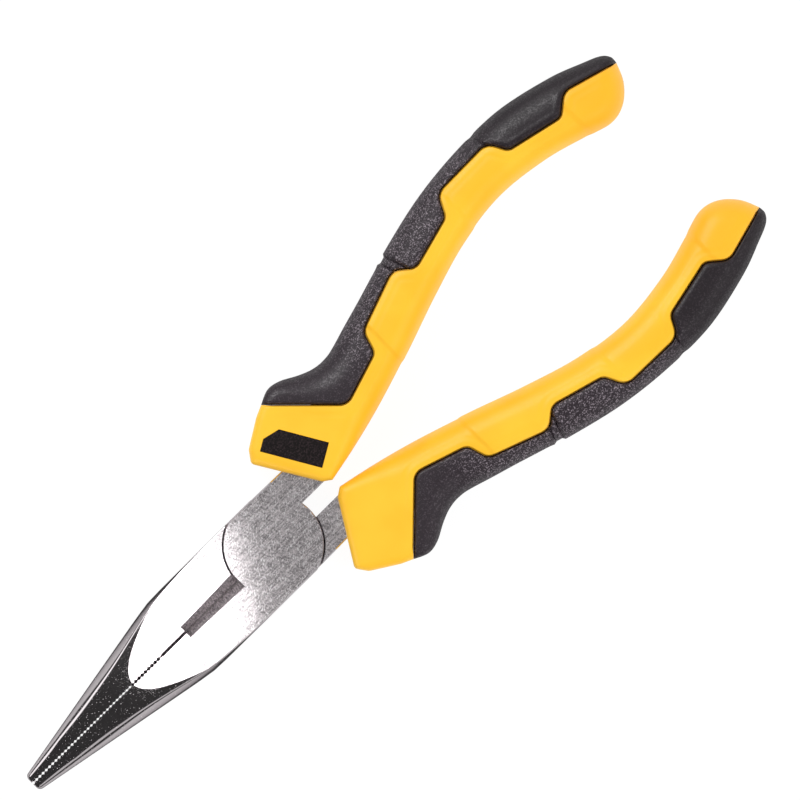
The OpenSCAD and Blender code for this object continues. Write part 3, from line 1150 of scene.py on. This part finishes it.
def rubber_material(name):
    """Soft moulded skin with a sandy grain whose glints are painted as light specks in its colour, smoother
    at the thumb stop and towards the rear.
    """
    material, tree, shader = new_material(name)
    sand = noise(tree, 0.26, 2, 0.7)
    pebbles = tree.nodes.new("ShaderNodeTexVoronoi")
    pebbles.feature = "SMOOTH_F1"
    set_up(tree, pebbles, {"Scale": 1, "Vector": place_in_mm(tree, (0.45, 0.45, 0.45))})
    grain = math_node(tree, "SUBTRACT", sand, multiply(tree, pebbles.outputs["Distance"], 0.2))
    x = split_axes(tree, own_coordinates(tree))[0]
    to_rear = ramp(tree, x, -66 * MM, -80 * MM)
    to_front = ramp(tree, x, -37 * MM, -28 * MM)
    sandy = rest_of(tree, multiply(tree, add(tree, to_rear, to_front), 0.82))
    # Painted glints of the grain, as light specks in the base colour, fewer where the skin is smooth
    painted_glints = multiply(tree, ramp(tree, grain, 0.42, 0.6), sandy)
    body = mix_colour(tree, painted_glints, *RUBBER_AND_GLINT_COLOURS)
    set_up(tree, shader, {
        "Base Color": mix_colour(tree, multiply(tree, to_rear, 0.5), body, RUBBER_END),
        "Roughness": ramp(tree, grain, 0.3, 0.55, 0.55, 0.28),
        "Specular IOR Level": 0.42,
    })
    relief(tree, shader, multiply(tree, grain, sandy), 0.12, 0.9)
    return material


def badge_material(name):
    """Black plate with a coarse satin grain."""
    material, tree, shader = new_material(name)
    grain = noise(tree, 0.3, 3, 0.7)
    set_up(tree, shader, {
        "Base Color": mix_colour(tree, ramp(tree, grain, 0.45, 0.7), *BADGE_COLOURS),
        "Roughness": ramp(tree, grain, 0.3, 0.7, 0.5, 0.35),
        "Specular IOR Level": 0.25,
    })
    relief(tree, shader, grain, 0.05, 0.8)
    return material


# ---- Build ----

steel = steel_material("forged_steel")
rivet_steel = steel_material("rivet_steel")
ground_steel = ground_material("ground_steel")
yellow = yellow_material("yellow_grip")
rubber = rubber_material("charcoal_grip")
badge_black = badge_material("badge")


def hand_in(piece, side, node):
    """Brings a finished piece to its side's body, where it replaces a node of the CAD."""
    place(piece, side)
    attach(piece, "lever_" + side)
    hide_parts(node)


lever_shape = lever_body()
shell_shape = shell_body()
skin_shape = skin_body()
badge_shape = badge_body()

# Each piece of a grip: its shape, its name, the CAD node it replaces, its look and its slot
GRIP_PIECES = [
    (shell_shape, "grip_shell_", "grip_core_", yellow, "yellow_grip"),
    (skin_shape, "grip_skin_", "grip_overmould_", rubber, "charcoal_grip"),
    (badge_shape, "badge_", "badge_inlay_", badge_black, "badge"),
]

for side, clearance in (("a", 0.0), ("b", RIVET_CLEARANCE)):
    piece = lever("forged_lever_" + side, lever_shape, clearance, (steel, ground_steel))
    hand_in(piece, side, "jaw_lever_" + side)
    for shape, name, node, look, slot in GRIP_PIECES:
        piece = copy_of(shape, name + side)
        shade(piece, GRIP_CREASE)
        piece.data.materials.append(look)
        hand_in(piece, side, node + side)

rivet = turned("flush_rivet", rivet_profile())
shade(rivet, STEEL_CREASE)
rivet.data.materials.append(rivet_steel)
hand_in(rivet, "a", "pivot_rivet")

for shape in (lever_shape, shell_shape, skin_shape, badge_shape):
    bpy.data.objects.remove(shape)

# ---- Stage, in metres ----

scene = bpy.context.scene
scene.view_settings.view_transform = "Standard"

CAMERA_TURN = math.radians(135.3)
CAMERA_HEIGHT = 2.0
VIEW_CENTRE = Vector((-33.0 * MM, -2.45 * MM, MID_Z * MM))
VIEW_WIDTH = 137.9 * MM
FLOOR_REACH = 2.0
FLOOR_CLEARANCE = 0.02 * MM

# The glowing card over the jaws' flats
CARD_GLOW = 3.5
CARD_HEIGHT = 0.028
CARD_NEAR = 0.0092
CARD_FAR = 0.0375
CARD_HALF = 0.010
CARD_SLANT = 0.6

LIGHT_DISTANCE = 0.9
LIGHT_SIZE = 0.5


def add_camera():
    """A long lens straight above the tool."""
    data = bpy.data.cameras.new("camera")
    data.sensor_width = 36
    data.lens = data.sensor_width * CAMERA_HEIGHT / VIEW_WIDTH
    data.clip_start = 0.01
    camera = bpy.data.objects.new("camera", data)
    camera.location = VIEW_CENTRE + Vector((0, 0, CAMERA_HEIGHT))
    camera.rotation_euler = (0, 0, CAMERA_TURN)
    scene.collection.objects.link(camera)
    scene.camera = camera


def stage_sheet(name, corners, height, material):
    """A flat four-cornered sheet of the studio."""
    mesh = bpy.data.meshes.new(name)
    mesh.from_pydata([(x, y, 0) for x, y in corners], [], [(0, 1, 2, 3)])
    mesh.materials.append(material)
    sheet = bpy.data.objects.new(name, mesh)
    sheet.location.z = height
    scene.collection.objects.link(sheet)
    return sheet


def add_floor():
    """A white floor. Reflections see it as bright or dark by how steeply they look down at it."""
    material, tree, surface = empty_material("floor")
    shader = tree.nodes.new("ShaderNodeBsdfPrincipled")
    path = tree.nodes.new("ShaderNodeLightPath")
    set_up(tree, shader, {
        "Base Color": (0.08, 0.08, 0.08),
        "Roughness": 0.9,
        "Specular IOR Level": 0.1,
        "Emission Color": (1, 1, 1),
        "Emission Strength": add(tree, 0.95, multiply(tree, path.outputs["Is Diffuse Ray"], 0.55)),
    })

    geometry = tree.nodes.new("ShaderNodeNewGeometry")
    x, _, steep = split_axes(tree, geometry.outputs["Incoming"])
    below = multiply(tree, ramp(tree, steep, 0.84, 0.95, 1.0, 0.2), ramp(tree, steep, 0.2, 0.36, 0.04, 0.56))
    grazing = multiply(tree, ramp(tree, steep, 0.3, 0.1), ramp(tree, x, -0.18, -0.06, 0.0, 0.34))
    reflected = tree.nodes.new("ShaderNodeEmission")
    link(tree, add(tree, below, grazing), reflected.inputs["Strength"])
    use_in_reflections(tree, shader, reflected, surface)

    corners = [(FLOOR_REACH * a, FLOOR_REACH * b) for a, b in ((-1, -1), (1, -1), (1, 1), (-1, 1))]
    stage_sheet("floor", corners, FLOOR_Z - FLOOR_CLEARANCE, material)


def add_softbox(name, direction, power, glossy=True):
    """A square light that faces the middle of the picture from the given direction."""
    data = bpy.data.lights.new(name, "AREA")
    data.shape = "SQUARE"
    data.size = LIGHT_SIZE
    data.energy = power
    light = bpy.data.objects.new(name, data)
    away = Vector(direction).normalized()
    light.location = VIEW_CENTRE + away * LIGHT_DISTANCE
    light.rotation_mode = "QUATERNION"
    light.rotation_quaternion = away.to_track_quat("Z", "Y")
    light.visible_camera = False
    light.visible_glossy = glossy
    scene.collection.objects.link(light)


def add_reflection_card():
    """A glowing card over the jaws that shows in reflections only."""
    material, tree, surface = empty_material("card")
    glow = tree.nodes.new("ShaderNodeEmission")
    glow.inputs["Strength"].default_value = CARD_GLOW
    link(tree, glow.outputs[0], surface)
    slant = CARD_HALF * CARD_SLANT
    corners = [
        (CARD_NEAR - slant, -CARD_HALF), (CARD_FAR, -CARD_HALF),
        (CARD_FAR, CARD_HALF), (CARD_NEAR + slant, CARD_HALF),
    ]
    card = stage_sheet("card", corners, CARD_HEIGHT, material)
    for ray in ("visible_camera", "visible_diffuse", "visible_transmission", "visible_shadow"):
        setattr(card, ray, False)


def add_world():
    """Even white light. Reflections see a studio that is dark beyond the nose and bright at the sides."""
    world = bpy.data.worlds.new("studio")
    scene.world = world
    world.use_nodes = True
    tree = world.node_tree
    tree.nodes.clear()
    output = tree.nodes.new("ShaderNodeOutputWorld")
    plain = tree.nodes.new("ShaderNodeBackground")
    set_up(tree, plain, {"Color": (0.93, 0.93, 0.94), "Strength": 0.68})

    where = tree.nodes.new("ShaderNodeTexCoord")
    x, y, z = split_axes(tree, where.outputs["Generated"])
    overhead = ramp(tree, x, 0.22, 0.05, 0.033, 0.56)
    aside = math_node(tree, "ABSOLUTE", y)
    side_box = multiply(tree, ramp(tree, aside, 0.62, 0.78), ramp(tree, z, 0.12, 0.3))
    sides = multiply(tree, side_box, ramp(tree, y, -0.5, 0.5, 1.4, 0.6))
    low = ramp(tree, z, 0.02, 0.2, 0.25, 1.0)
    horizon = multiply(tree, ramp(tree, z, 0.25, 0.1), ramp(tree, x, 0.18, 0.06, 0.0, 0.5))
    studio = tree.nodes.new("ShaderNodeBackground")
    seen = add(tree, multiply(tree, add(tree, overhead, sides), low), horizon)
    link(tree, seen, studio.inputs["Strength"])
    use_in_reflections(tree, plain, studio, output.inputs["Surface"])


add_camera()
add_floor()
add_world()
add_reflection_card()
add_softbox("key", (-0.1, -0.9, 1.1), 3.5)
add_softbox("fill", (-0.3, 1.0, 0.9), 3.2, glossy=False)
